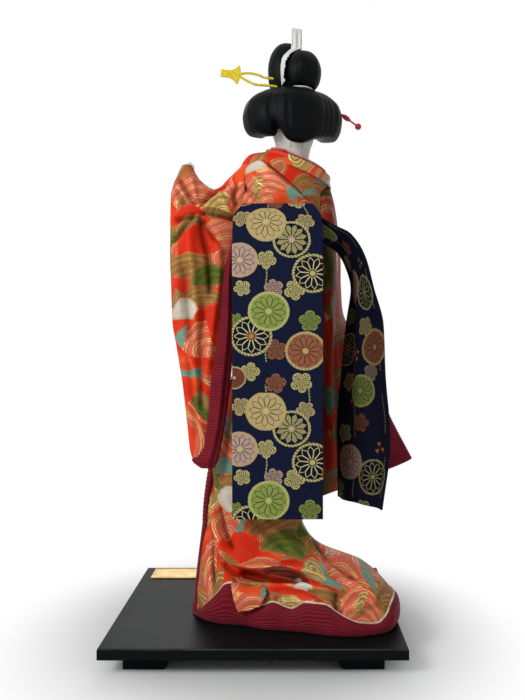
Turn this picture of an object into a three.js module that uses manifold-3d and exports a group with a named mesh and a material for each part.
// Japanese doll in a trailing kimono, seen turning on a lacquered stand.
// Millimetres, +Z up, the doll faces -Y. The doll's left is +X.
import * as THREE from "three";
import * as BufferGeometryUtils from "three/addons/utils/BufferGeometryUtils.js";
import Module from "manifold-3d";

const wasm = await Module();
wasm.setup();

// Stand
const BASE_WIDTH = 212;
const BASE_DEPTH = 182;
const BASE_THICK = 8;
const BASE_BEVEL = 0.8;
const FOOT_HEIGHT = 11;
const FOOT_DEPTH = 14;
const FOOT_SETBACK = 12;
const FOOT_INSET = 15;
const FOOT_FLAT = 28;
const FOOT_SWEEP = 8;
const PLATE_LENGTH = 70;
const PLATE_WIDTH = 26;
const PLATE_THICK = 0.8;
const PLATE_EDGE_X = 8.5;
const PLATE_EDGE_Y = 6.5;

// Clearances
const GAP = 0.3;
const TURN_GAP = 0.4;

// Inner supports
const POST_RADIUS = 5;
const POST_LENGTH = 190;
const SCREW_RADIUS = 2;
const SCREW_HEAD_RADIUS = 4;
const SCREW_HEAD_HEIGHT = 2.4;
const SCREW_BITE = 18;
const PEG_RADIUS = 3.5;
const PEG_LENGTH = 38;

// Heights above the top of the stand, and lengths measured from them
const WAIST_HEIGHT = 246;
const TORSO_LENGTH = 92;
const OBI_DROP = 14;
const OBI_WIDTH = 66;
const NECK_DROP = 2;
const COLUMN_HEIGHT = 62;

// The dressed body's sections: centre and half sizes
const COLUMN_X = 3;
const COLUMN_Y = -4;
const COLUMN_HALF_WIDTH = 39;
const COLUMN_HALF_DEPTH = 30;
const WAIST_X = -17;
const WAIST_Y = 0;
const WAIST_HALF_WIDTH = 29;
const WAIST_HALF_DEPTH = 23;
const CHEST_X = -18;
const CHEST_HALF_WIDTH = 33.5;
const CHEST_HALF_DEPTH = 25;
const RIBS_X = -17.5;
const RIBS_RISE = 26;
const RIBS_HALF_WIDTH = 30.5;
const RIBS_HALF_DEPTH = 23.5;
const BODY_SIDES = 20;
const OBI_THICK = 3;
const CLOTH = 1.2;

// Head and hair, in the head's own frame: its origin is on the neck's axis
const NECK_X = -27;
const NECK_Y = 0;
const HEAD_TURN = 14;
const NECK_RADIUS = 12.6;
const HEAD_RISE = 50;
const HEAD_HALF_WIDTH = 17.5;
const HEAD_HALF_DEPTH = 20;
const HEAD_HALF_HEIGHT = 23;
const HAIR_HALF_WIDTH = 40.5;

const STAND_TOP = FOOT_HEIGHT + BASE_THICK;
const FLOOR = STAND_TOP + GAP;
const SHOULDER_HEIGHT = WAIST_HEIGHT + TORSO_LENGTH;
const NECK_HEIGHT = SHOULDER_HEIGHT - NECK_DROP;
const OBI_BOTTOM = WAIST_HEIGHT - OBI_DROP;
const OBI_TOP = OBI_BOTTOM + OBI_WIDTH;
const SHOULDER_Z = STAND_TOP + SHOULDER_HEIGHT;
const OBI_TOP_Z = STAND_TOP + OBI_TOP;

const COLOURS = {
  lacquer: [0x101416, 0.35, 0],
  gilt: [0xc2a066, 0.4, 0.8],
  steel: [0x9a9c9e, 0.35, 1],
  wood: [0xb98f5c, 0.7, 0],
  straw: [0xcbb377, 0.9, 0],
  cotton: [0xe8e2d4, 0.95, 0],
  skin: [0xf2ede6, 0.5, 0],
  hair: [0x0a0b0e, 0.45, 0],
  paper: [0xe4e6dc, 0.85, 0],
  yellow: [0xdcc020, 0.45, 0],
  red: [0xb81018, 0.4, 0],
  piping: [0xd8405a, 0.7, 0],
  grey: [0x4c4648, 0.8, 0],
  brocade: [0xe0401e, 0.55, 0],
  lining: [0x7a1222, 0.85, 0],
  navy: [0x141c3a, 0.7, 0],
  peach: [0xe8a488, 0.8, 0],
  cord: [0xf0d8a0, 0.7, 0],
};

const part = new THREE.Group();
part.name = "japanese_doll";
const doll = new THREE.Group();
const headGroup = new THREE.Group();
headGroup.position.set(NECK_X, NECK_Y, STAND_TOP + NECK_HEIGHT);
headGroup.rotation.z = THREE.MathUtils.degToRad(HEAD_TURN);

// Closed mesh geometry from points and triangles, with its faces turned outwards.
function closedGeometry(points, faces) {
  let volume = 0;
  for (const [a, b, c] of faces) {
    volume += points[a].dot(new THREE.Vector3().crossVectors(points[b], points[c]));
  }
  const turned = volume < 0 ? faces.map(([a, b, c]) => [a, c, b]) : faces;
  const geometry = new THREE.BufferGeometry();
  geometry.setAttribute("position", new THREE.Float32BufferAttribute(points.flatMap((p) => [p.x, p.y, p.z]), 3));
  geometry.setIndex(turned.flat());
  return geometry;
}

// Solid through a row of rings that all have the same number of points.
function loft(rings) {
  const count = rings[0].length;
  const points = rings.flat();
  const faces = [];
  for (let i = 0; i + 1 < rings.length; i += 1) {
    for (let j = 0; j < count; j += 1) {
      const next = (j + 1) % count;
      const a = i * count + j;
      const b = i * count + next;
      faces.push([a, b, b + count], [a, b + count, a + count]);
    }
  }
  for (const end of [0, rings.length - 1]) {
    const middle = new THREE.Vector3();
    rings[end].forEach((p) => middle.add(p));
    points.push(middle.divideScalar(count));
    for (let j = 0; j < count; j += 1) {
      const a = end * count + j;
      const b = end * count + ((j + 1) % count);
      faces.push(end === 0 ? [points.length - 1, b, a] : [points.length - 1, a, b]);
    }
  }
  return closedGeometry(points, faces);
}

// Solid ring through sections that follow each other round a closed path.
function closedSweep(sections) {
  const count = sections[0].length;
  const total = sections.length * count;
  const faces = [];
  for (let i = 0; i < sections.length; i += 1) {
    for (let j = 0; j < count; j += 1) {
      const next = (j + 1) % count;
      const a = i * count + j;
      const b = i * count + next;
      const c = (b + count) % total;
      faces.push([a, b, c], [a, c, (a + count) % total]);
    }
  }
  return closedGeometry(sections.flat(), faces);
}

// Sheet with a thickness: a grid of points, offset half the thickness to each side.
function slab(grid, thickness) {
  const rows = grid.length;
  const columns = grid[0].length;
  const at = (i, j) => grid[Math.min(Math.max(i, 0), rows - 1)][Math.min(Math.max(j, 0), columns - 1)];
  const upper = [];
  const lower = [];
  for (let i = 0; i < rows; i += 1) {
    for (let j = 0; j < columns; j += 1) {
      const along = new THREE.Vector3().subVectors(at(i + 1, j), at(i - 1, j));
      const across = new THREE.Vector3().subVectors(at(i, j + 1), at(i, j - 1));
      const normal = along.cross(across).normalize().multiplyScalar(thickness / 2);
      upper.push(grid[i][j].clone().add(normal));
      lower.push(grid[i][j].clone().sub(normal));
    }
  }
  const shift = rows * columns;
  const faces = [];
  for (let i = 0; i + 1 < rows; i += 1) {
    for (let j = 0; j + 1 < columns; j += 1) {
      const a = i * columns + j;
      const b = a + columns;
      faces.push([a, b, b + 1], [a, b + 1, a + 1]);
      faces.push([a + shift, b + 1 + shift, b + shift], [a + shift, a + 1 + shift, b + 1 + shift]);
    }
  }
  const rim = [];
  for (let j = 0; j < columns; j += 1) rim.push(j);
  for (let i = 1; i < rows; i += 1) rim.push(i * columns + columns - 1);
  for (let j = columns - 2; j >= 0; j -= 1) rim.push((rows - 1) * columns + j);
  for (let i = rows - 2; i > 0; i -= 1) rim.push(i * columns);
  rim.forEach((a, k) => {
    const b = rim[(k + 1) % rim.length];
    faces.push([a, b, b + shift], [a, b + shift, a + shift]);
  });
  return closedGeometry([...upper, ...lower], faces);
}

// Ring of points on an ellipse at one height, which may slope with x.
function ellipseRing(x, y, z, halfWidth, halfDepth, count = BODY_SIDES, slope = 0) {
  const ring = [];
  for (let j = 0; j < count; j += 1) {
    const angle = (j / count) * 2 * Math.PI;
    const px = halfWidth * Math.cos(angle);
    ring.push(new THREE.Vector3(x + px, y + halfDepth * Math.sin(angle), z + slope * px));
  }
  return ring;
}

// Ring of a flat lens between two ends, as a folded sleeve has.
function lensRing(start, end, halfThick, count = 12) {
  const along = new THREE.Vector3().subVectors(end, start);
  const side = new THREE.Vector3(-along.y, along.x, 0).normalize();
  const ring = [];
  for (let j = 0; j < count; j += 1) {
    const angle = (j / count) * 2 * Math.PI;
    const run = 0.5 - 0.5 * Math.cos(angle);
    const bulge = Math.sign(Math.sin(angle)) * Math.abs(Math.sin(angle)) ** 0.8 * halfThick;
    ring.push(start.clone().addScaledVector(along, run).addScaledVector(side, bulge));
  }
  return ring;
}

function ellipsoid(x, y, z, halfWidth, halfDepth, halfHeight, round = 18, high = 11) {
  const geometry = new THREE.SphereGeometry(1, round, high);
  geometry.rotateX(Math.PI / 2);
  geometry.scale(halfWidth, halfDepth, halfHeight);
  geometry.translate(x, y, z);
  return geometry;
}

function cylinder(radius, bottom, top, x = 0, y = 0, sides = 32) {
  const geometry = new THREE.CylinderGeometry(radius, radius, top - bottom, sides);
  geometry.rotateX(Math.PI / 2);
  geometry.translate(x, y, (top + bottom) / 2);
  return geometry;
}

function lathe(profile, x = 0, y = 0, sides = 18) {
  const geometry = new THREE.LatheGeometry(profile.map(([r, z]) => new THREE.Vector2(r, z)), sides);
  geometry.rotateX(Math.PI / 2);
  geometry.translate(x, y, 0);
  return geometry;
}

function box(x0, x1, y0, y1, z0, z1) {
  const geometry = new THREE.BoxGeometry(x1 - x0, y1 - y0, z1 - z0);
  geometry.translate((x0 + x1) / 2, (y0 + y1) / 2, (z0 + z1) / 2);
  return geometry;
}

// Round rod along a smooth path, closed at both ends, grown all round where it cuts its neighbour.
function rod(path, radius, grow = 0, steps = 10, sides = 4) {
  const outline = new THREE.Shape();
  outline.absarc(0, 0, radius + grow, 0, 2 * Math.PI, false);
  const points = path.map((p) => new THREE.Vector3(...p));
  const last = points.length - 1;
  points[0].addScaledVector(new THREE.Vector3().subVectors(points[0], points[1]).normalize(), grow);
  points[last].addScaledVector(new THREE.Vector3().subVectors(points[last], points[last - 1]).normalize(), grow);
  const curve = new THREE.CatmullRomCurve3(points);
  return new THREE.ExtrudeGeometry(outline, { steps, curveSegments: sides, bevelEnabled: false, extrudePath: curve });
}

function toSolid(geometry) {
  const bare = geometry.clone();
  bare.deleteAttribute("normal");
  bare.deleteAttribute("uv");
  const merged = BufferGeometryUtils.mergeVertices(bare, 1e-4);
  const vertProperties = new Float32Array(merged.attributes.position.array);
  const kept = [];
  for (let i = 0; i < merged.index.count; i += 3) {
    const [a, b, c] = [0, 1, 2].map((k) => merged.index.getX(i + k));
    if (a !== b && b !== c && c !== a) kept.push(a, b, c);
  }
  const triVerts = new Uint32Array(kept);
  return new wasm.Manifold(new wasm.Mesh({ numProp: 3, vertProperties, triVerts }));
}

function fromSolid(solid) {
  const mesh = solid.getMesh();
  const geometry = new THREE.BufferGeometry();
  const positions = new Float32Array(mesh.numVert * 3);
  for (let i = 0; i < mesh.numVert; i += 1) {
    for (let k = 0; k < 3; k += 1) positions[3 * i + k] = mesh.vertProperties[i * mesh.numProp + k];
  }
  geometry.setAttribute("position", new THREE.BufferAttribute(positions, 3));
  geometry.setIndex(new THREE.BufferAttribute(new Uint32Array(mesh.triVerts), 1));
  return geometry;
}

// The first shape, joined with the others.
function join(first, ...others) {
  return fromSolid(others.reduce((sum, shape) => sum.add(toSolid(shape)), toSolid(first)));
}

// The first shape without the others, as its largest piece.
function cut(first, ...others) {
  const rest = others.reduce((sum, shape) => sum.subtract(toSolid(shape)), toSolid(first));
  const pieces = rest.decompose();
  pieces.sort((a, b) => b.volume() - a.volume());
  return fromSolid(pieces[0]);
}

function add(name, geometry, [colour, roughness, metalness], group = doll) {
  const material = new THREE.MeshStandardMaterial({ color: colour, roughness, metalness });
  const mesh = new THREE.Mesh(geometry, material);
  mesh.name = name;
  group.add(mesh);
  return mesh;
}

// Value of a table of [key, value] rows at a key, in straight lines from row to row.
function along(table, key) {
  const last = table.length - 1;
  if (key <= table[0][0]) return table[0][1];
  if (key >= table[last][0]) return table[last][1];
  const i = table.findIndex((row) => row[0] > key);
  const [k0, v0] = table[i - 1];
  const [k1, v1] = table[i];
  const t = (key - k0) / (k1 - k0);
  return v0 + (v1 - v0) * t;
}

// Stand

const boardShape = new THREE.Shape();
boardShape.moveTo(-BASE_WIDTH / 2 + BASE_BEVEL, -BASE_DEPTH / 2 + BASE_BEVEL);
boardShape.lineTo(BASE_WIDTH / 2 - BASE_BEVEL, -BASE_DEPTH / 2 + BASE_BEVEL);
boardShape.lineTo(BASE_WIDTH / 2 - BASE_BEVEL, BASE_DEPTH / 2 - BASE_BEVEL);
boardShape.lineTo(-BASE_WIDTH / 2 + BASE_BEVEL, BASE_DEPTH / 2 - BASE_BEVEL);
const board = new THREE.ExtrudeGeometry(boardShape, {
  depth: BASE_THICK - 2 * BASE_BEVEL,
  bevelThickness: BASE_BEVEL,
  bevelSize: BASE_BEVEL,
  bevelSegments: 2,
});
board.translate(0, 0, FOOT_HEIGHT + BASE_BEVEL);

const screwTop = STAND_TOP + SCREW_BITE;
function baseScrew(grow) {
  const headBottom = FOOT_HEIGHT + GAP - 3 * grow;
  const headTop = FOOT_HEIGHT + GAP + SCREW_HEAD_HEIGHT + grow;
  return lathe([
    [0, headBottom],
    [SCREW_HEAD_RADIUS + grow, headBottom],
    [SCREW_HEAD_RADIUS + grow, FOOT_HEIGHT + 2 * GAP + grow],
    [SCREW_RADIUS + grow, headTop],
    [SCREW_RADIUS + grow, screwTop - SCREW_RADIUS],
    [0, screwTop + grow],
  ], COLUMN_X, COLUMN_Y, 24);
}
add("base_plate", cut(board, baseScrew(GAP)), COLOURS.lacquer);
add("base_screw", join(baseScrew(0)), COLOURS.steel);

// Foot: a bar along the board's end whose inner end sweeps up in a double curve.
function foot(sideX, sideY) {
  const outline = new THREE.Shape();
  const outer = BASE_WIDTH / 2 - FOOT_INSET;
  const inner = outer - FOOT_FLAT;
  const top = FOOT_HEIGHT - GAP;
  outline.moveTo(outer, 0);
  outline.lineTo(outer, top);
  outline.lineTo(inner - FOOT_SWEEP, top);
  outline.bezierCurveTo(inner - FOOT_SWEEP / 2, top - 1, inner - FOOT_SWEEP / 2, 1, inner, 0);
  const geometry = new THREE.ExtrudeGeometry(outline, { depth: FOOT_DEPTH, curveSegments: 6, bevelEnabled: false });
  geometry.rotateX(Math.PI / 2);
  const far = BASE_DEPTH / 2 - FOOT_SETBACK;
  geometry.translate(0, far, 0);
  const solid = toSolid(geometry).scale([sideX, sideY, 1]);
  return fromSolid(solid);
}
add("foot_front_left", foot(1, -1), COLOURS.lacquer);
add("foot_front_right", foot(-1, -1), COLOURS.lacquer);
add("foot_back_left", foot(1, 1), COLOURS.lacquer);
add("foot_back_right", foot(-1, 1), COLOURS.lacquer);

const plateRight = BASE_WIDTH / 2 - PLATE_EDGE_X;
const plateFront = -BASE_DEPTH / 2 + PLATE_EDGE_Y;
add("nameplate", box(
  plateRight - PLATE_LENGTH, plateRight,
  plateFront, plateFront + PLATE_WIDTH,
  FLOOR, FLOOR + PLATE_THICK,
), COLOURS.gilt);

// Robe with its train. Around the doll, angle 0 is the doll's left and 90 degrees its back.

const HEM_X = 0;
const HEM_Y = 8;
const HEM_REACH = [
  [0, 50], [27, 52.5], [48, 52], [78, 47.5], [100, 55], [120, 67], [140, 101], [152, 113], [166, 111.5],
  [182, 99], [196, 83], [219, 64], [259, 53], [298, 52], [332, 49.5], [360, 50],
];
const ROBE_TURNS = 36;
const ROBE_LEVELS = 11;
const TRAIN_HEIGHT = 43;
const FOLD_DEPTH = 4;
const FOLD_COUNT = 12;
const PLEAT_DEPTH = 1.2;
const PLEAT_COUNT = 9;

function smooth(low, high, value) {
  const t = Math.min(Math.max((value - low) / (high - low), 0), 1);
  return t * t * (3 - 2 * t);
}

function hemPoint(angle, inward = 0) {
  const reach = along(HEM_REACH, THREE.MathUtils.radToDeg(angle)) - inward;
  return new THREE.Vector3(HEM_X + reach * Math.cos(angle), HEM_Y + reach * Math.sin(angle), FLOOR);
}

// Point of the robe's surface: level 0 is the waist, 1 the foot of the column and 2 the floor.
function robePoint(angle, level, grow = 0) {
  const outward = new THREE.Vector3(Math.cos(angle), Math.sin(angle), 0);
  const fall = Math.min(level, 1);
  const spread = smooth(0, 1, fall);
  const pleat = 1 + (PLEAT_DEPTH * fall * Math.cos(PLEAT_COUNT * angle)) / COLUMN_HALF_DEPTH;
  const halfWidth = THREE.MathUtils.lerp(WAIST_HALF_WIDTH, COLUMN_HALF_WIDTH, spread) * pleat;
  const halfDepth = THREE.MathUtils.lerp(WAIST_HALF_DEPTH, COLUMN_HALF_DEPTH, spread) * pleat;
  const point = new THREE.Vector3(
    THREE.MathUtils.lerp(WAIST_X, COLUMN_X, spread) + halfWidth * outward.x,
    THREE.MathUtils.lerp(WAIST_Y, COLUMN_Y, spread) + halfDepth * outward.y,
    STAND_TOP + THREE.MathUtils.lerp(WAIST_HEIGHT, COLUMN_HEIGHT, fall),
  );
  if (level > 1) {
    const t = level - 1;
    const floorPoint = hemPoint(angle);
    const reach = Math.hypot(floorPoint.x - point.x, floorPoint.y - point.y);
    const trail = smooth(16, 50, reach);
    const fallOff = (1 - t) ** THREE.MathUtils.lerp(1.15, 5, trail);
    const mound = trail * TRAIN_HEIGHT * Math.sqrt(Math.max(0, 1 - t ** 3));
    const wave = Math.cos(FOLD_COUNT * (angle - 0.9 * t));
    const fold = trail * FOLD_DEPTH * wave * Math.sin(Math.PI * t) ** 0.7;
    point.lerp(floorPoint, t);
    point.z = FLOOR + Math.max(COLUMN_HEIGHT * fallOff * (1 - 0.55 * trail * t), 0) + (mound + fold) * (1 - fallOff);
    if (t >= 1) point.z = FLOOR;
  }
  return point.addScaledVector(outward, grow);
}

function robeRing(level, grow = 0) {
  const ring = [];
  for (let j = 0; j < ROBE_TURNS; j += 1) ring.push(robePoint((j / ROBE_TURNS) * 2 * Math.PI, level, grow));
  return ring;
}

function robeSolid(fromLevel, toLevel, grow = 0) {
  const rings = [];
  for (let i = 0; i <= ROBE_LEVELS; i += 1) {
    rings.push(robeRing(THREE.MathUtils.lerp(fromLevel, toLevel, i / ROBE_LEVELS), grow));
  }
  return loft(rings);
}

// Padded hem, rolled out from under the robe all the way round.
const HEM_WIDTH = 9;
const HEM_HEIGHT = 18;
const HEM_TURNS = 36;
function hemRoll(grow) {
  const sections = [];
  for (let i = 0; i < HEM_TURNS; i += 1) {
    const angle = (i / HEM_TURNS) * 2 * Math.PI;
    const outward = new THREE.Vector3(Math.cos(angle), Math.sin(angle), 0);
    const corner = smooth(5, 27, THREE.MathUtils.radToDeg(angle)) * (1 - smooth(40, 75, THREE.MathUtils.radToDeg(angle)));
    const height = HEM_HEIGHT + 9 * corner;
    const middle = hemPoint(angle, HEM_WIDTH / 2);
    const section = [];
    for (let k = 0; k < 8; k += 1) {
      const turn = (k / 8) * 2 * Math.PI;
      const point = middle.clone().addScaledVector(outward, (HEM_WIDTH / 2 + grow) * Math.cos(turn));
      point.z = Math.max(FLOOR - grow, FLOOR + height * 0.45 + (height * 0.55 + grow) * Math.sin(turn));
      section.push(point);
    }
    sections.push(section);
  }
  return closedSweep(sections);
}

// Padded edge of the robe's front, seen as a strip down the doll's left side.
const EDGE_TOP = 188;
const EDGE_HALF_WIDTH = 3.2;
const EDGE_HALF_DEPTH = 6;
const EDGE_LEVEL_TOP = (WAIST_HEIGHT - EDGE_TOP) / (WAIST_HEIGHT - COLUMN_HEIGHT);
function edgeRoll(grow) {
  const rings = [];
  const steps = 10;
  for (let i = 0; i <= steps; i += 1) {
    const level = THREE.MathUtils.lerp(EDGE_LEVEL_TOP, 1.97, i / steps);
    const swing = 0.32 * smooth(1, 2, level);
    const middle = robePoint(swing, level);
    const z = middle.z + (i === 0 ? grow : 0) - (i === steps ? grow : 0);
    rings.push(ellipseRing(middle.x - 1, middle.y, z, EDGE_HALF_WIDTH + grow, EDGE_HALF_DEPTH + grow, 10));
  }
  return loft(rings);
}

// Padded leg form and straw torso, carried by the post.

const LEG_TOP = WAIST_HEIGHT - 6;
const PADDING = 7;
const LEG_STEPS = 6;
const LEG_SIDES = 20;
function legForm() {
  const waist = [WAIST_X, WAIST_Y, WAIST_HALF_WIDTH - PADDING, WAIST_HALF_DEPTH - PADDING];
  const column = [COLUMN_X, COLUMN_Y, COLUMN_HALF_WIDTH - PADDING, COLUMN_HALF_DEPTH - PADDING];
  const rings = [];
  for (let i = 0; i <= LEG_STEPS; i += 1) {
    const height = (i / LEG_STEPS) * LEG_TOP;
    const t = smooth(COLUMN_HEIGHT, WAIST_HEIGHT, height);
    const [x, y, w, d] = waist.map((value, k) => THREE.MathUtils.lerp(column[k], value, t));
    rings.push(ellipseRing(x, y, FLOOR + height, w, d, LEG_SIDES));
  }
  return loft(rings);
}

// Bore through the robe that the leg form fills, open at the waist and on the board.
function legBore() {
  const rings = [];
  for (let i = 0; i <= LEG_STEPS + 1; i += 1) {
    const height = (i / LEG_STEPS) * LEG_TOP;
    const t = smooth(COLUMN_HEIGHT, WAIST_HEIGHT, height);
    rings.push(ellipseRing(
      THREE.MathUtils.lerp(COLUMN_X, WAIST_X, t),
      THREE.MathUtils.lerp(COLUMN_Y, WAIST_Y, t),
      FLOOR + (i === 0 ? -1 : height),
      THREE.MathUtils.lerp(COLUMN_HALF_WIDTH, WAIST_HALF_WIDTH, t) - PADDING + GAP,
      THREE.MathUtils.lerp(COLUMN_HALF_DEPTH, WAIST_HALF_DEPTH, t) - PADDING + GAP,
      LEG_SIDES,
    ));
  }
  return loft(rings);
}

const post = cylinder(POST_RADIUS, FLOOR, FLOOR + POST_LENGTH, COLUMN_X, COLUMN_Y, 24);
const postBore = cylinder(POST_RADIUS + GAP, FLOOR - 1, FLOOR + POST_LENGTH + GAP, COLUMN_X, COLUMN_Y, 24);
add("support_post", cut(post, baseScrew(GAP)), COLOURS.wood);
add("leg_form", cut(legForm(), postBore), COLOURS.cotton);

const CORE_PADDING = 7.5;
const coreWidth = WAIST_HALF_WIDTH - CORE_PADDING;
const coreDepth = WAIST_HALF_DEPTH - CORE_PADDING;
const chestWidth = CHEST_HALF_WIDTH - CORE_PADDING;
const chestDepth = CHEST_HALF_DEPTH - CORE_PADDING;
const CORE_RINGS = [
  [LEG_TOP + 2 * GAP, WAIST_X, WAIST_Y, coreWidth, coreDepth],
  [OBI_TOP - 20, CHEST_X, 0, chestWidth - 1, chestDepth],
  [OBI_TOP + 14, CHEST_X - 0.5, 0, chestWidth + 1, chestDepth],
  [SHOULDER_HEIGHT - 12, CHEST_X - 2, 0, chestWidth, chestDepth - 2],
  [NECK_HEIGHT - TURN_GAP, NECK_X, NECK_Y, NECK_RADIUS + 3, NECK_RADIUS + 1],
];
function bodyCore(grow) {
  const last = CORE_RINGS.length - 1;
  return loft(CORE_RINGS.map(([height, x, y, w, d], i) => {
    const end = (i === 0 ? -grow : 0) + (i === last ? grow : 0);
    return ellipseRing(x, y, STAND_TOP + height + end, w + grow, d + grow);
  }));
}
const pegBottom = STAND_TOP + NECK_HEIGHT - PEG_LENGTH;
const pegBore = cylinder(PEG_RADIUS + TURN_GAP, pegBottom - TURN_GAP, STAND_TOP + NECK_HEIGHT + 1, NECK_X, NECK_Y, 24);
add("body_core", cut(bodyCore(0), pegBore), COLOURS.straw);

// Arms: wires wound with cotton. The left one is raised, the right one comes forward.
const ARM_RADIUS = 3.7;
// Each point is [x, y, drop below the shoulder].
const LEFT_ARM = [[8, -3, 16], [32, -1, 18], [51, 0, 24], [60, -1, 18], [59, -4, 5], [57, -6, -3]];
const RIGHT_ARM = [
  [-44, -2, 18], [-54, -1, 24], [-58.7, 0.5, 36], [-60, 1, 53], [-60.5, -6, 70], [-60, -22, 77.5], [-59.5, -38, 80],
];
const hung = (path) => path.map(([x, y, drop]) => [x, y, SHOULDER_Z - drop]);
const leftArm = (grow) => rod(hung(LEFT_ARM), ARM_RADIUS, grow, 9, 3);
const rightArm = (grow) => rod(hung(RIGHT_ARM), ARM_RADIUS, grow, 10, 3);
add("left_arm_core", cut(leftArm(0), bodyCore(GAP)), COLOURS.cotton);
add("right_arm_core", cut(rightArm(0), bodyCore(GAP)), COLOURS.cotton);

// Hand: wrist, palm, four fingers and a thumb, pointing along +Z with its back to +Y.
const PALM = [3.8, 1.9, 5];
const FINGER_RADIUS = 0.85;
const WRIST_RADIUS = 2.5;
function hand() {
  const shapes = [ellipsoid(0, 0, PALM[2] + GAP, ...PALM, 9, 6)];
  const tips = [[-2.5, 13.2], [-0.85, 14.6], [0.85, 14.2], [2.4, 12.6]];
  for (const [x, tip] of tips) {
    shapes.push(rod([[x, 0, 7], [x * 1.02, -0.4, 10.5], [x * 0.95, -1.1, tip]], FINGER_RADIUS, 0, 2, 2));
  }
  shapes.push(rod([[2.6, 0, 3.5], [4.4, -1, 6], [4.9, -2, 8.6]], FINGER_RADIUS, 0, 2, 2));
  shapes.push(rod([[0, 0, -2], [0, 0, 1], [0, 0, 4]], WRIST_RADIUS, 0, 2, 3));
  return join(...shapes);
}
// Hand past the end of an arm, turned by three angles.
function placedHand(arm, [dx, dy, dz], [tiltX, tiltY, tiltZ]) {
  const [x, y, z] = hung(arm)[arm.length - 1];
  const geometry = hand();
  geometry.rotateX(tiltX);
  geometry.rotateY(tiltY);
  geometry.rotateZ(tiltZ);
  geometry.translate(x + dx, y + dy, z + dz);
  return geometry;
}
const leftHand = placedHand(LEFT_ARM, [-0.5, -0.6, 0.8], [0.2, -0.1, 0.3]);
const rightHand = placedHand(RIGHT_ARM, [0, -1, 0], [Math.PI / 2 + 0.2, 0, 0]);
add("left_hand", cut(leftHand, leftArm(GAP)), COLOURS.skin);
add("right_hand", cut(rightHand, rightArm(GAP)), COLOURS.skin);

// Kimono body above the waist, open round the neck.

const RIM_X = -32;
const RIM_Y = 3.5;
const RIM_RISE = 11;
const RIM_HEIGHT = SHOULDER_HEIGHT + RIM_RISE;
const RIM_HALF_WIDTH = 24.5;
const RIM_HALF_DEPTH = 21.5;
const RIM_SLOPE = 0.44;
const BODICE_RINGS = [
  [WAIST_HEIGHT + GAP, WAIST_X, WAIST_Y, WAIST_HALF_WIDTH, WAIST_HALF_DEPTH, 0],
  [WAIST_HEIGHT + RIBS_RISE, RIBS_X, 0, RIBS_HALF_WIDTH, RIBS_HALF_DEPTH, 0],
  [OBI_TOP, CHEST_X, 0, CHEST_HALF_WIDTH - 2, CHEST_HALF_DEPTH - 1, 0],
  [OBI_TOP + 18, CHEST_X - 0.5, 0, CHEST_HALF_WIDTH, CHEST_HALF_DEPTH, 0],
  [SHOULDER_HEIGHT - 10, CHEST_X - 1, 0, CHEST_HALF_WIDTH, CHEST_HALF_DEPTH - 1, 0.1],
  [SHOULDER_HEIGHT, CHEST_X - 2, 1, CHEST_HALF_WIDTH + 0.5, CHEST_HALF_DEPTH - 2.5, 0.27],
  [SHOULDER_HEIGHT + 7, NECK_X + 2.5, 2.5, 32, 22, 0.37],
  [RIM_HEIGHT, RIM_X, RIM_Y, RIM_HALF_WIDTH, RIM_HALF_DEPTH, RIM_SLOPE],
];
function bodiceOuter(grow) {
  return loft(BODICE_RINGS.map(([height, x, y, w, d, slope], i) => (
    ellipseRing(x, y, STAND_TOP + height - (i === 0 ? grow : 0), w + grow, d + grow, BODY_SIDES, slope)
  )));
}
const OPENING_WALL = 2.2;
function neckOpening(grow) {
  const rimWidth = RIM_HALF_WIDTH - OPENING_WALL + grow;
  const rimDepth = RIM_HALF_DEPTH - OPENING_WALL + grow;
  return loft([
    ellipseRing(NECK_X - 0.5, NECK_Y + 0.5, STAND_TOP + NECK_HEIGHT - 6, 15.8 + grow, 14.8 + grow),
    ellipseRing(RIM_X, RIM_Y, STAND_TOP + RIM_HEIGHT, rimWidth, rimDepth, BODY_SIDES, RIM_SLOPE),
    ellipseRing(RIM_X - 1, RIM_Y, STAND_TOP + RIM_HEIGHT + 20, rimWidth + 2, rimDepth + 2, BODY_SIDES, RIM_SLOPE),
  ]);
}
const coreBore = loft([
  ellipseRing(WAIST_X, WAIST_Y, STAND_TOP + WAIST_HEIGHT - 2, coreWidth + 2 * GAP, coreDepth + 2 * GAP),
  ellipseRing(WAIST_X, WAIST_Y, STAND_TOP + WAIST_HEIGHT + 6, coreWidth + 3 * GAP, coreDepth + 3 * GAP),
]);
add(
  "kimono_bodice",
  cut(bodiceOuter(0), bodyCore(GAP), coreBore, neckOpening(0), leftArm(GAP), rightArm(GAP)),
  COLOURS.brocade,
);

// Height of the bodice's rings at x, and the depth of its front there.
function bodiceFront(x, height) {
  const rings = BODICE_RINGS.map(([h, cx, cy, w, d, slope]) => {
    const run = Math.min(Math.abs(x - cx) / w, 0.98);
    return [h + slope * (x - cx), cy - d * Math.sqrt(1 - run * run)];
  });
  return along(rings, height);
}

// Collar band: crosses over the breast, the left end outside, and stands off the nape.
const BAND_HALF_WIDTH = 4.6;
const BAND_THICK = 1.2;
function frontBand([x, height, sideways, lift], grow) {
  const across = new THREE.Vector2(sideways, -0.65).normalize().multiplyScalar(BAND_HALF_WIDTH + grow);
  return [-1, 0, 1].map((k) => {
    const px = x + k * across.x;
    const h = height + k * across.y;
    return new THREE.Vector3(px, bodiceFront(px, h) - lift, STAND_TOP + h);
  });
}
function rimBand(degrees, grow) {
  const angle = THREE.MathUtils.degToRad(degrees);
  return [0, 1, 2].map((k) => {
    const drop = k * BAND_HALF_WIDTH * 0.92 + (k - 1) * grow;
    const spread = GAP + BAND_THICK / 2 + drop * 0.62;
    const px = (RIM_HALF_WIDTH + spread) * Math.cos(angle);
    return new THREE.Vector3(
      RIM_X + px,
      RIM_Y + (RIM_HALF_DEPTH + spread) * Math.sin(angle),
      STAND_TOP + RIM_HEIGHT + 1 - drop + RIM_SLOPE * RIM_HALF_WIDTH * Math.cos(angle),
    );
  });
}
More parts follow.
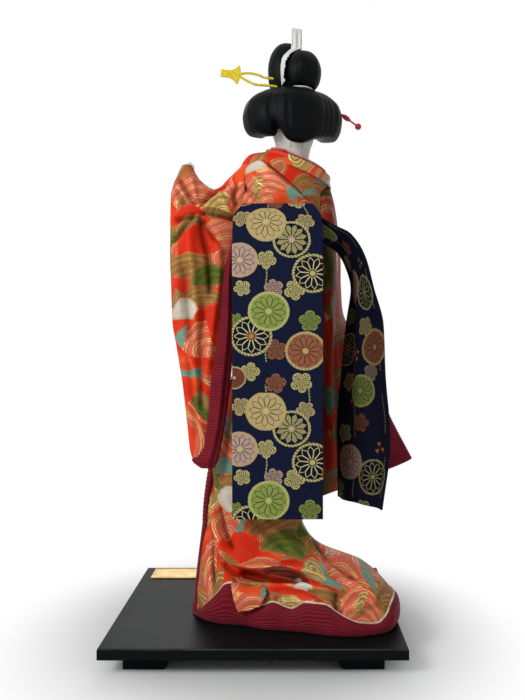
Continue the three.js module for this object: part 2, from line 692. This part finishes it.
const UNDER_LIFT = GAP + BAND_THICK / 2;
const OVER_LIFT = UNDER_LIFT + BAND_THICK + GAP;
const OVER_BAND = [
  [-43, OBI_TOP + 5, 1, OVER_LIFT], [-36, OBI_TOP + 17, 1, OVER_LIFT],
  [-28, OBI_TOP + 30, 1, OVER_LIFT], [-18, OBI_TOP + 41, 1, OVER_LIFT + 0.4],
];
const RIM_TURNS = [-38, -15, 10, 35, 60, 85, 110, 135, 160, 185, 205];
const UNDER_BAND = [
  [-42, OBI_TOP + 37, -1, UNDER_LIFT + 0.6], [-30, OBI_TOP + 28, -1, UNDER_LIFT],
  [-20, OBI_TOP + 17, -1, UNDER_LIFT], [-11, OBI_TOP + 5, -1, UNDER_LIFT],
];
function collarBand(grow) {
  const rows = [
    ...OVER_BAND.map((row) => frontBand(row, grow)),
    ...RIM_TURNS.map((degrees) => rimBand(degrees, grow)),
    ...UNDER_BAND.map((row) => frontBand(row, grow)),
  ];
  return slab(rows, BAND_THICK + 2 * grow);
}
add("kimono_collar", cut(collarBand(0), bodiceOuter(GAP)), COLOURS.brocade);

// Inner collar: a thin ring inside the neck opening, with a piped upper edge.
const UNDER_WALL = 1;
function rimRing(inset, rise, count = BODY_SIDES) {
  return ellipseRing(
    RIM_X, RIM_Y, STAND_TOP + RIM_HEIGHT + rise,
    RIM_HALF_WIDTH - inset, RIM_HALF_DEPTH - inset, count, RIM_SLOPE,
  );
}
const underOuter = OPENING_WALL + GAP;
const underInner = underOuter + UNDER_WALL;
const UNDER_RISE = 2.4;
const UNDER_DEPTH = 8;
const UNDER_TAPER = 1.6;
const underCorners = [
  rimRing(underOuter + UNDER_TAPER, -UNDER_DEPTH),
  rimRing(underOuter, UNDER_RISE),
  rimRing(underInner, UNDER_RISE),
  rimRing(underInner + UNDER_TAPER, -UNDER_DEPTH),
];
const collarSections = underCorners[0].map((_, j) => underCorners.map((ring) => ring[j]));
const bodiceShell = cut(bodiceOuter(GAP), neckOpening(-GAP));
const neckSpace = cylinder(NECK_RADIUS + 1.8, STAND_TOP, SHOULDER_Z + 80, NECK_X, NECK_Y, 24);
add("under_collar", cut(closedSweep(collarSections), bodiceShell, neckSpace), COLOURS.grey);
const PIPING_RADIUS = 0.9;
const PIPING_TURNS = 26;
const PIPING_SIDES = 5;
const pipingRise = UNDER_RISE + GAP + PIPING_RADIUS;
const pipingSections = rimRing((underOuter + underInner) / 2, pipingRise, PIPING_TURNS).map((middle, j) => {
  const angle = (j / PIPING_TURNS) * 2 * Math.PI;
  const outward = new THREE.Vector3(Math.cos(angle), Math.sin(angle), 0);
  return Array.from({ length: PIPING_SIDES }, (_, k) => {
    const turn = (k / PIPING_SIDES) * 2 * Math.PI;
    const point = middle.clone().addScaledVector(outward, PIPING_RADIUS * Math.cos(turn));
    point.z += PIPING_RADIUS * Math.sin(turn);
    return point;
  });
});
add("collar_piping", closedSweep(pipingSections), COLOURS.piping);

// Obi: band, pad, scarf and cord, and the two hanging tails.

const OBI_RINGS = [
  [OBI_BOTTOM, WAIST_X + 0.5, WAIST_Y, WAIST_HALF_WIDTH + OBI_THICK + 1.5, WAIST_HALF_DEPTH + OBI_THICK + 1],
  [WAIST_HEIGHT, WAIST_X, WAIST_Y, WAIST_HALF_WIDTH + OBI_THICK, WAIST_HALF_DEPTH + OBI_THICK],
  [WAIST_HEIGHT + RIBS_RISE, RIBS_X, 0, RIBS_HALF_WIDTH + OBI_THICK, RIBS_HALF_DEPTH + OBI_THICK],
  [OBI_TOP, CHEST_X, 0, CHEST_HALF_WIDTH - 2 + OBI_THICK, CHEST_HALF_DEPTH - 1 + OBI_THICK],
];
function obiOuter(grow) {
  const last = OBI_RINGS.length - 1;
  return loft(OBI_RINGS.map(([height, x, y, w, d], i) => {
    const end = (i === 0 ? -grow : 0) + (i === last ? grow : 0);
    return ellipseRing(x, y, STAND_TOP + height + end, w + grow, d + grow);
  }));
}
add("obi_wrap", cut(obiOuter(0), join(robeSolid(0, 2, GAP), bodiceOuter(GAP + 0.01))), COLOURS.navy);

// Ring of round or flattened section round the trunk.
function trunkRing(x, y, z, halfWidth, halfDepth, halfThick, halfHigh, count = BODY_SIDES) {
  const sections = [];
  for (let j = 0; j < count; j += 1) {
    const angle = (j / count) * 2 * Math.PI;
    const section = [];
    for (let k = 0; k < 6; k += 1) {
      const turn = (k / 6) * 2 * Math.PI;
      const out = halfThick * Math.cos(turn);
      section.push(new THREE.Vector3(
        x + (halfWidth + out) * Math.cos(angle),
        y + (halfDepth + out) * Math.sin(angle),
        z + halfHigh * Math.sin(turn),
      ));
    }
    sections.push(section);
  }
  return closedSweep(sections);
}
const SCARF_HALF_THICK = 1.5;
const SCARF_HALF_HIGH = 3.4;
const scarf = (grow) => trunkRing(
  CHEST_X, 0, OBI_TOP_Z + GAP + SCARF_HALF_HIGH,
  CHEST_HALF_WIDTH + SCARF_HALF_THICK + GAP, CHEST_HALF_DEPTH + SCARF_HALF_THICK + GAP,
  SCARF_HALF_THICK + grow, SCARF_HALF_HIGH + grow,
);
add("obi_age", cut(scarf(0), bodiceOuter(GAP), collarBand(GAP)), COLOURS.peach);
const CORD_RADIUS = 1.6;
const CORD_DROP = 30;
const cordZ = OBI_TOP_Z - CORD_DROP;
const cordWidth = RIBS_HALF_WIDTH + OBI_THICK + CORD_RADIUS + GAP;
const cordDepth = RIBS_HALF_DEPTH + OBI_THICK + CORD_RADIUS + GAP;
const cordRing = (grow) => trunkRing(RIBS_X, 0, cordZ, cordWidth, cordDepth, CORD_RADIUS + grow, CORD_RADIUS + grow);
const cordKnot = ellipsoid(RIBS_X, -cordDepth - 0.8, cordZ, 5, 2.4, 3.2, 10, 7);
add("obi_cord", cut(join(cordRing(0), cordKnot), obiOuter(GAP)), COLOURS.cord);

// Edges of a tail, as rows of [left edge, right edge], filled in across.
function sheetGrid(rows, columns, grow = 0) {
  const edges = rows.map(([a, b]) => [new THREE.Vector3(...a), new THREE.Vector3(...b)]);
  edges.forEach(([a, b]) => {
    const out = new THREE.Vector3().subVectors(b, a).normalize().multiplyScalar(grow);
    a.sub(out);
    b.add(out);
  });
  const left = new THREE.CatmullRomCurve3(edges.map(([a]) => a));
  const right = new THREE.CatmullRomCurve3(edges.map(([, b]) => b));
  const grid = [];
  const steps = (rows.length - 1) * 2;
  for (let i = 0; i <= steps; i += 1) {
    const a = left.getPoint(i / steps);
    const b = right.getPoint(i / steps);
    grid.push(Array.from({ length: columns }, (_, j) => a.clone().lerp(b, j / (columns - 1))));
  }
  return grid;
}
const TAIL_THICK = 1.6;
const TAIL_WIDTH = 68;
const TAIL_BOTTOM = 76;
const TAIL_X = -16;
const TAIL_Y = 40;
const TAIL_RISE = 14.5;
const TAIL_TOP = OBI_TOP + TAIL_RISE;
const centreTailPath = [
  [TAIL_Y - 8.5, TAIL_TOP - 9, 50],
  [TAIL_Y - 8, TAIL_TOP - 3, 50],
  [TAIL_Y - 5, TAIL_TOP, 52],
  [TAIL_Y - 1.5, TAIL_TOP - 3.5, 58],
  [TAIL_Y, TAIL_TOP - 12, 65],
  [TAIL_Y, TAIL_TOP - 30, TAIL_WIDTH],
  [TAIL_Y, TAIL_BOTTOM + 110, TAIL_WIDTH],
  [TAIL_Y, TAIL_BOTTOM, TAIL_WIDTH],
];
const centreTailRows = centreTailPath.map(([y, height, width]) => [
  [TAIL_X + width / 2, y, STAND_TOP + height],
  [TAIL_X - width / 2, y, STAND_TOP + height],
]);
const centreTail = (grow) => slab(sheetGrid(centreTailRows, 3, grow), TAIL_THICK + 2 * grow);
add("obi_tail_centre", centreTail(0), COLOURS.navy);

// Rows of the side tail: front edge [x, y, drop below the obi's top], then back edge.
const SIDE_TAIL = [
  [[-46, 31, 12], [-47, 34, -6]],
  [[-55, 28, 17], [-60, 36, 2]],
  [[-62, 18, 20], [-70, 38.5, 8]],
  [[-69, 8, 29], [-80, 42, 25]],
  [[-74.5, 0, 47], [-86, 44, 50]],
  [[-71, -5, 73], [-93, 46, 77]],
  [[-66, -6.5, 118], [-95, 46, 113]],
  [[-62.5, -8, 158], [-99, 46, 163]],
  [[-63, -8, 215], [-93, 46, 214]],
];
const sideTailRows = SIDE_TAIL.map((row) => row.map(([x, y, drop]) => [x, y, OBI_TOP_Z - drop]));
const sideTail = (grow) => slab(sheetGrid(sideTailRows, 4, grow), TAIL_THICK + 2 * grow);
add("obi_tail_right", cut(sideTail(0), centreTail(GAP), scarf(GAP), obiOuter(GAP)), COLOURS.navy);

const PAD_HALF_WIDTH = 31;
const PAD_HALF_DEPTH = 11;
const PAD_HALF_HEIGHT = 12.5;
const PAD_INSET = 9;
const PAD_DROP = 13;
const pad = ellipsoid(TAIL_X, TAIL_Y - PAD_INSET, STAND_TOP + TAIL_TOP - PAD_DROP, PAD_HALF_WIDTH, PAD_HALF_DEPTH,
  PAD_HALF_HEIGHT, 14, 8);
add("obi_pad", cut(pad, centreTail(GAP), sideTail(GAP), scarf(GAP), obiOuter(GAP), bodiceOuter(GAP)), COLOURS.peach);

// Left sleeve: a bag hanging from the raised arm, with its padded lining along the open edge.
// Rows: drop below the shoulder, outer edge, inner edge of the brocade, depth, half thickness.
const LEFT_SLEEVE = [
  [-14, 62, 54, -6, 4.5],
  [-5, 66, 49.5, -4.5, 7],
  [3, 68.7, 42, -3, 9.5],
  [12, 70.4, 27, -2, 10.5],
  [26, 70.3, 18.5, -1, 11],
  [38, 70.1, 16.5, 0.5, 10],
  [64, 70.1, 20.5, 3, 9],
  [80, 69.4, 25, 5, 8.5],
  [114, 67.6, 27, 8.5, 8],
  [130, 64.4, 27.5, 10.5, 7.6],
  [147, 60.9, 31, 13, 7.2],
  [161, 58.1, 33.5, 15.5, 6.8],
  [189, 54.7, 35.5, 19.5, 6],
  [211, 52.1, 39, 23.5, 5],
  [219, 50, 41, 25, 4],
];
// Rows of the lining: drop, outer edge, inner edge, depth, half thickness.
const LEFT_LINING = [
  [39, 20.6, 18.6, 0.5, 3],
  [57, 23.5, 19.2, 2.5, 6],
  [80, 29.4, 19.2, 5, 7],
  [114, 31.3, 18.9, 8.5, 7],
  [147, 35.8, 20.4, 13, 6.6],
  [161, 37.9, 21.5, 15.5, 6.2],
  [189, 39.8, 24.4, 19.5, 5.6],
  [211, 44, 28.3, 23.5, 5],
  [220, 49.5, 30, 25.2, 4.6],
  [226, 43, 33, 25.8, 2.6],
];
function hangingBag(rows, grow) {
  const last = rows.length - 1;
  return loft(rows.map(([drop, outer, inner, y, thick], i) => {
    const z = SHOULDER_Z - drop + (i === 0 ? grow : 0) - (i === last ? grow : 0);
    return lensRing(new THREE.Vector3(outer + grow, y, z), new THREE.Vector3(inner - grow, y, z), thick + grow);
  }));
}
// Sleeve cap over the upper arm, from the shoulder seam to the elbow: x, centre's drop, half height, half depth.
const SHOULDER_CAP = [
  [10, 6, 22, 15],
  [19, 12, 18, 14],
  [30, 18.5, 14.5, 12.5],
  [46, 22, 12, 11],
];
const CAP_SIDES = 16;
const CAP_Y = -1.5;
function shoulderCap(grow) {
  return loft(SHOULDER_CAP.map(([x, drop, high, deep]) => {
    const ring = ellipseRing(0, 0, 0, high + grow, deep + grow, CAP_SIDES);
    return ring.map((p) => new THREE.Vector3(x, CAP_Y + p.y, SHOULDER_Z - drop + p.x));
  }));
}
const leftLining = (grow) => hangingBag(LEFT_LINING, grow);
const leftSleeve = (grow) => join(hangingBag(LEFT_SLEEVE, grow), shoulderCap(grow));
const bodyInflated = [bodiceOuter(GAP), collarBand(GAP), scarf(GAP), obiOuter(GAP), cordRing(GAP)];
// Open mouths of the sleeves round the hands.
const leftMouth = ellipsoid(56.5, -7.3, SHOULDER_Z + 12, 7, 4.6, 14.5, 12, 8);
const rightMouth = ellipsoid(-59.5, -46, SHOULDER_Z - 79.5, 6.4, 13, 4.8, 12, 8);
add(
  "left_sleeve",
  cut(leftSleeve(0), ...bodyInflated, leftLining(GAP), leftArm(GAP), leftMouth),
  COLOURS.brocade,
);
add("left_sleeve_lining", cut(leftLining(0), ...bodyInflated, centreTail(GAP), leftArm(GAP)), COLOURS.lining);

// Right sleeve: hangs from the arm that comes forward and swings out at its lower end.
// Rows: inner back edge [x, y, drop], outer front edge [x, y, drop], half thickness.
const RIGHT_SLEEVE = [
  [[-44, 6, 4], [-57, -7, 8], 6.5],
  [[-48, 9, 20], [-59, -12, 22], 8.5],
  [[-52, 11, 40], [-61, -24, 42], 9],
  [[-54, 11, 62], [-64, -40, 61], 8.5],
  [[-54, 8, 82], [-66, -46, 81], 7.5],
  [[-52, 2, 102], [-69, -48, 101], 6.5],
  [[-50, -6, 138], [-86, -48, 138], 6],
  [[-48, -13, 191], [-110, -45, 191], 5.5],
  [[-46, -16, 258], [-130, -43, 229], 4.5],
];
const LINING_SHARE = 0.66;
const BROCADE_SHARE = 0.94;
const LINING_ROW = 5;
function rightBag(rows, fromShare, toShare, grow) {
  const last = rows.length - 1;
  return loft(rows.map(([inner, outer, thick], i) => {
    const a = new THREE.Vector3(...inner);
    const b = new THREE.Vector3(...outer);
    const start = a.clone().lerp(b, fromShare);
    const end = a.clone().lerp(b, toShare);
    const out = new THREE.Vector3().subVectors(b, a).normalize().multiplyScalar(grow);
    start.sub(out);
    end.add(out);
    for (const point of [start, end]) {
      point.z = SHOULDER_Z - point.z + (i === 0 ? grow : 0) - (i === last ? grow : 0);
    }
    return lensRing(start, end, thick + grow);
  }));
}
// The lining fills out from a thin upper end to the sleeve's own thickness.
const liningRows = RIGHT_SLEEVE.slice(LINING_ROW).map(([inner, outer, thick], i) => (
  [inner, outer, thick * Math.min(1, 0.3 + 0.6 * i)]
));
const rightLining = (grow) => rightBag(liningRows, LINING_SHARE, 1, grow);
const rightSleeve = (grow) => rightBag(RIGHT_SLEEVE, 0, BROCADE_SHARE, grow);
const rightCutters = [...bodyInflated, rightArm(GAP), rightMouth, sideTail(GAP), centreTail(GAP)];
add("right_sleeve", cut(rightSleeve(0), ...rightCutters, rightLining(GAP)), COLOURS.brocade);
add("right_sleeve_lining", cut(rightLining(0), ...rightCutters), COLOURS.lining);

// Robe, hem and front panel.

const FLAP_THICK = 1.2;
// Rows of the flap that folds over the hem: [x, y, height above the board] at its two edges.
const HEM_FLAP = [
  [[20, 49.5, 29], [-9, 53, 26]],
  [[18.5, 55.2, 22], [-2, 58.2, 20.5]],
  [[15.5, 57.4, 15], [9, 58, 12.5]],
];
function hemFlap(grow) {
  const rows = HEM_FLAP.map((row) => row.map(([x, y, height]) => new THREE.Vector3(x, y, STAND_TOP + height)));
  const grid = rows.map(([a, b]) => [a, a.clone().lerp(b, 0.5), b]);
  return slab(grid, FLAP_THICK + 2 * grow);
}
// The panel follows the robe's own rings, from the first to the last turn that it covers.
const PANEL_FIRST = 22;
const PANEL_LAST = 34;
function frontPanel() {
  const grid = [];
  for (let i = 1; i < ROBE_LEVELS; i += 1) {
    const ring = robeRing((2 * i) / ROBE_LEVELS, 2 * GAP + CLOTH / 2);
    grid.push(ring.slice(PANEL_FIRST, PANEL_LAST + 1));
  }
  return slab(grid, CLOTH);
}
const robe = robeSolid(0, 2);
const sleeveCutters = [leftSleeve(GAP), leftLining(GAP), rightSleeve(GAP)];
const robeCutters = [legBore(), hemRoll(GAP), edgeRoll(GAP), hemFlap(GAP), ...sleeveCutters];
add("robe_skirt", cut(robe, ...robeCutters), COLOURS.brocade);
const panelCutters = [hemRoll(GAP), edgeRoll(GAP), ...sleeveCutters, obiOuter(GAP)];
add("front_panel", cut(frontPanel(), ...panelCutters), COLOURS.brocade);
add("hem_roll", cut(hemRoll(0), hemFlap(GAP)), COLOURS.lining);
add("edge_roll", cut(edgeRoll(0), ...sleeveCutters, legBore(), hemRoll(GAP)), COLOURS.lining);
add("hem_flap", hemFlap(0), COLOURS.brocade);

// Head and hair, in the head's own frame.

const neckProfile = [
  [0, 0], [NECK_RADIUS + 1.5, 0], [NECK_RADIUS + 0.4, 7], [NECK_RADIUS, 18],
  [NECK_RADIUS + 0.6, 27], [NECK_RADIUS + 1, 40], [0, 44],
];
const SKULL_Y = -2;
const skull = (grow) => ellipsoid(0, SKULL_Y, HEAD_RISE, HEAD_HALF_WIDTH + grow, HEAD_HALF_DEPTH + grow,
  HEAD_HALF_HEIGHT + grow, 14, 10);
const chin = (grow) => ellipsoid(0, SKULL_Y - 6, HEAD_RISE - 15, 9 + grow, 10.5 + grow, 9.5 + grow, 12, 8);
const nose = ellipsoid(0, SKULL_Y - HEAD_HALF_DEPTH + 0.2, HEAD_RISE - 5, 1.7, 2.6, 4.2, 8, 6);
const ear = (side, grow) => ellipsoid(side * HEAD_HALF_WIDTH, SKULL_Y + 2, HEAD_RISE - 4, 2 + grow, 3.4 + grow,
  5.6 + grow, 8, 6);
const headPegTop = 24;
const headPegBore = cylinder(PEG_RADIUS + GAP, -1, headPegTop + GAP, 0, 0, 24);
const headWhole = join(lathe(neckProfile), skull(0), chin(0), nose, ear(1, 0), ear(-1, 0));
add("head", cut(headWhole, headPegBore), COLOURS.skin, headGroup);
add("neck_peg", cylinder(PEG_RADIUS, -PEG_LENGTH, headPegTop, 0, 0, 24), COLOURS.wood, headGroup);
const headInflated = [
  lathe(neckProfile.map(([r, z]) => [r === 0 ? 0 : r + GAP, z])), skull(GAP), chin(GAP), ear(1, GAP), ear(-1, GAP),
];

// Hairpins, each along its own X axis, which points out of the hair.
const TINE_RADIUS = 1;
const TINE_SPREAD = 3;
const TINE_LENGTH = 16;
const YELLOW_BOW = 23;
const YELLOW_LIFT = 3;
const YELLOW_FAN = 15;
const YELLOW_THICK = 1.8;
const YELLOW_TILT = -6;
const yellowPlace = new THREE.Matrix4()
  .makeTranslation(19.6, 0.2, HEAD_RISE + 29.6)
  .multiply(new THREE.Matrix4().makeRotationZ(THREE.MathUtils.degToRad(-HEAD_TURN)))
  .multiply(new THREE.Matrix4().makeRotationY(THREE.MathUtils.degToRad(YELLOW_TILT)));
function yellowPin() {
  const fan = new THREE.Shape();
  fan.moveTo(YELLOW_BOW - 1, -1);
  fan.lineTo(YELLOW_BOW + 2, -7.6);
  fan.quadraticCurveTo(YELLOW_BOW + 6, -2.4, YELLOW_BOW + YELLOW_FAN, -2.6);
  fan.lineTo(YELLOW_BOW + YELLOW_FAN, 2.8);
  fan.quadraticCurveTo(YELLOW_BOW + 7, 2, YELLOW_BOW, 7.6);
  fan.lineTo(YELLOW_BOW - 1, 1);
  const plate = new THREE.ExtrudeGeometry(fan, { depth: YELLOW_THICK, curveSegments: 8, bevelEnabled: false });
  plate.rotateX(Math.PI / 2);
  plate.translate(0, YELLOW_THICK / 2, YELLOW_LIFT);
  const strands = [-1, 1].map((side) => rod([
    [-TINE_LENGTH, 0, side * TINE_SPREAD], [-TINE_LENGTH / 2, 0, side * TINE_SPREAD], [0, 0, side * TINE_SPREAD],
    [3, 0, side * TINE_SPREAD], [9, 0, 0.8 + side * (TINE_SPREAD + 1)], [17, 0, 2.2 + side * TINE_SPREAD],
    [YELLOW_BOW + 1, 0, YELLOW_LIFT + side * 0.6],
  ], TINE_RADIUS, 0, 14, 3));
  return join(plate, ...strands);
}
// Bore for a pin's shaft, from past its tip to well outside the hair.
const BORE_REACH = 25;
function pinBore(radius, length, offset) {
  const bore = new THREE.CylinderGeometry(radius + GAP, radius + GAP, length + BORE_REACH, 8);
  bore.rotateZ(Math.PI / 2);
  bore.translate((BORE_REACH - length) / 2 - GAP, 0, offset);
  return bore;
}
const tineBores = [-1, 1].map((side) => pinBore(TINE_RADIUS, TINE_LENGTH, side * TINE_SPREAD));
const STEM_RADIUS = 0.7;
const STEM_LENGTH = 20;
const BALL_RADIUS = 2.6;
const BALL_REACH = 16;
const RED_TILT = 36;
const redPlace = new THREE.Matrix4()
  .makeTranslation(GAP - HAIR_HALF_WIDTH, 6, HEAD_RISE + 6)
  .multiply(new THREE.Matrix4().makeRotationZ(THREE.MathUtils.degToRad(180 - HEAD_TURN)))
  .multiply(new THREE.Matrix4().makeRotationY(THREE.MathUtils.degToRad(RED_TILT)));
function redPin() {
  const stem = new THREE.CylinderGeometry(STEM_RADIUS, STEM_RADIUS, STEM_LENGTH + BALL_REACH, 8);
  stem.rotateZ(Math.PI / 2);
  stem.translate((BALL_REACH - STEM_LENGTH) / 2, 0, 0);
  const leaf = ellipsoid(4, 0, 0, 4.6, 1.2, 2, 10, 7);
  return join(stem, leaf, ellipsoid(BALL_REACH, 0, 0, BALL_RADIUS, BALL_RADIUS, BALL_RADIUS, 12, 8));
}
const stemBore = pinBore(STEM_RADIUS, STEM_LENGTH, 0);
const placed = (geometry, place) => geometry.clone().applyMatrix4(place);
const pinBores = [...tineBores.map((bore) => placed(bore, yellowPlace)), placed(stemBore, redPlace)];

// Hair: the full back roll, two side wings, the front roll and the bun's two lobes.
// Each form: [x, y, height above the head's middle, half width, half depth, half height].
const WING_HALF_WIDTH = 18;
const BACK_ROLL = [0, 9, 1, 31, 24, 20.5];
const WING = [HAIR_HALF_WIDTH - WING_HALF_WIDTH, 2, 1, WING_HALF_WIDTH, 18.5, 19.5];
const FRONT_ROLL = [0, -8, 17, 21, 16, 12];
const RIGHT_LOBE = [-5.6, 11, 35.3, 15.3, 16, 16.3];
const LEFT_LOBE = [2.1, -4.7, 40.2, 16.8, 15, 21.3];
function hairForm([x, y, rise, halfWidth, halfDepth, halfHeight], grow, sides, rings) {
  return ellipsoid(x, y, HEAD_RISE + rise, halfWidth + grow, halfDepth + grow, halfHeight + grow, sides, rings);
}
const backRoll = (grow) => hairForm(BACK_ROLL, grow, 16, 10);
const wing = (side, grow) => hairForm([side * WING[0], ...WING.slice(1)], grow, 14, 9);
const frontRoll = (grow) => hairForm(FRONT_ROLL, grow, 14, 8);
const rightLobe = (grow) => hairForm(RIGHT_LOBE, grow, 14, 9);
const leftLobe = (grow) => hairForm(LEFT_LOBE, grow, 14, 9);
const RIBBON_THICK = 0.9;
// Rows of the ribbon's two edges: [x, y, height above the head's middle].
const RIBBON = [
  [[-5.6, 9.2, 70.2], [2.4, 9.2, 70.2]],
  [[-5.4, 9.4, 59.2], [2.6, 9.4, 59.2]],
  [[-1.8, 15, 54.5], [4.6, 7.5, 55.8]],
  [[4.6, 17.5, 46.5], [10.6, 8, 48.5]],
  [[7.6, 18.5, 37], [11.6, 8.5, 37.5]],
  [[9, 18.5, 26.5], [11.4, 8.5, 26.5]],
];
const ribbonRows = RIBBON.map((row) => row.map(([x, y, rise]) => [x, y, HEAD_RISE + rise]));
const ribbon = (grow) => slab(sheetGrid(ribbonRows, 3, grow), RIBBON_THICK + 2 * grow);
const TIE_RADIUS = 1.1;
const TIE_REACH = 13.2;
const TIE_RISE = 19.5;
const TIE_Y = RIGHT_LOBE[1] + 1;
const hairTie = trunkRing(RIGHT_LOBE[0], TIE_Y, HEAD_RISE + TIE_RISE, TIE_REACH, TIE_REACH, TIE_RADIUS,
  TIE_RADIUS, 22);
// Spaces that the hair leaves round the face, the cheeks and the nape.
const SPACE_BOTTOM = -10;
const SPACE_FRONT = -2 * HEAD_HALF_DEPTH;
const FACE_HALF_WIDTH = 14;
const FACE_BACK = -5;
const HAIRLINE_RISE = 7;
const CHEEK_BACK = -13;
const CHEEK_RISE = 4;
const NAPE_CLEAR = 3;
const NAPE_DROP = 20;
const CHEEK_REACH = HAIR_HALF_WIDTH + HEAD_HALF_WIDTH;
const faceSpace = box(-FACE_HALF_WIDTH, FACE_HALF_WIDTH, SPACE_FRONT, FACE_BACK, SPACE_BOTTOM,
  HEAD_RISE + HAIRLINE_RISE);
const cheekSpace = box(-CHEEK_REACH, CHEEK_REACH, SPACE_FRONT, CHEEK_BACK, SPACE_BOTTOM, HEAD_RISE + CHEEK_RISE);
const napeSpace = cylinder(NECK_RADIUS + NAPE_CLEAR, SPACE_BOTTOM, HEAD_RISE - NAPE_DROP, 0, 0, 16);
const hair = COLOURS.hair;
add("hair_back", cut(backRoll(0), ...headInflated, ...pinBores, faceSpace, napeSpace), hair, headGroup);
for (const [name, side] of [["hair_left_wing", 1], ["hair_right_wing", -1]]) {
  add(name, cut(wing(side, 0), ...headInflated, ...pinBores, backRoll(GAP), faceSpace, cheekSpace), hair, headGroup);
}
add("hair_front", cut(frontRoll(0), ...headInflated, ...pinBores, backRoll(GAP), wing(1, GAP), wing(-1, GAP)),
  hair, headGroup);
const ribbonSpace = [ribbon(GAP), ribbon(GAP / 3), ribbon(0)];
const hairBelow = [backRoll(GAP), frontRoll(GAP), wing(1, GAP), wing(-1, GAP), ...headInflated];
add("bun_right_lobe", cut(rightLobe(0), ...hairBelow, ...pinBores, ...ribbonSpace), hair, headGroup);
add("bun_left_lobe", cut(leftLobe(0), ...hairBelow, ...pinBores, ...ribbonSpace, rightLobe(GAP)), hair, headGroup);
add("hair_tie", cut(hairTie, ...hairBelow, ...pinBores, rightLobe(GAP), leftLobe(GAP), ribbon(GAP)), COLOURS.paper,
  headGroup);
add("paper_ribbon", cut(ribbon(0), ...hairBelow, ...pinBores), COLOURS.paper, headGroup);
add("yellow_hairpin", placed(yellowPin(), yellowPlace), COLOURS.yellow, headGroup);
add("red_hairpin", placed(redPin(), redPlace), COLOURS.red, headGroup);

// The origin is the middle of the footprint of the whole doll and its stand.
doll.add(headGroup);
doll.updateMatrixWorld(true);
const extent = new THREE.Box3().setFromObject(doll);
doll.position.set(-(extent.min.x + extent.max.x) / 2, -(extent.min.y + extent.max.y) / 2, 0);
part.add(doll);

export default part;
